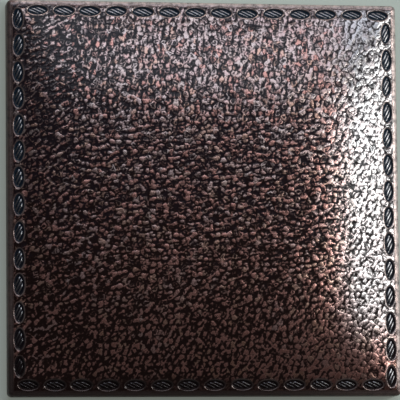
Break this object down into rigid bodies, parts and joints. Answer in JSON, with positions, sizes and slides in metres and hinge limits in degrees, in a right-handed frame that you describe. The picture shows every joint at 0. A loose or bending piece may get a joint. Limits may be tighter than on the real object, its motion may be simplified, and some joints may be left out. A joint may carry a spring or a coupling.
{
  "type": "ceramic wall tile",
  "caption": "Square pillow-faced ceramic wall tile, cast to look like antiqued pebbled leather, with a stitched border round a low dome and a grooved back for adhesive.",
  "frame": {"origin": "centre of the flat back face, where the tile beds on the wall", "axes": "+Z out of the decorated face, +X to the right and +Y up as the face is seen"},
  "size_m": [0.15, 0.15, 0.0135],
  "materials": {
    "glaze": "antiqued copper lustre glaze, semi-gloss"
  },
  "bodies": {
    "root": {"wall_tile": "glaze"}
  },
  "joints": []
}
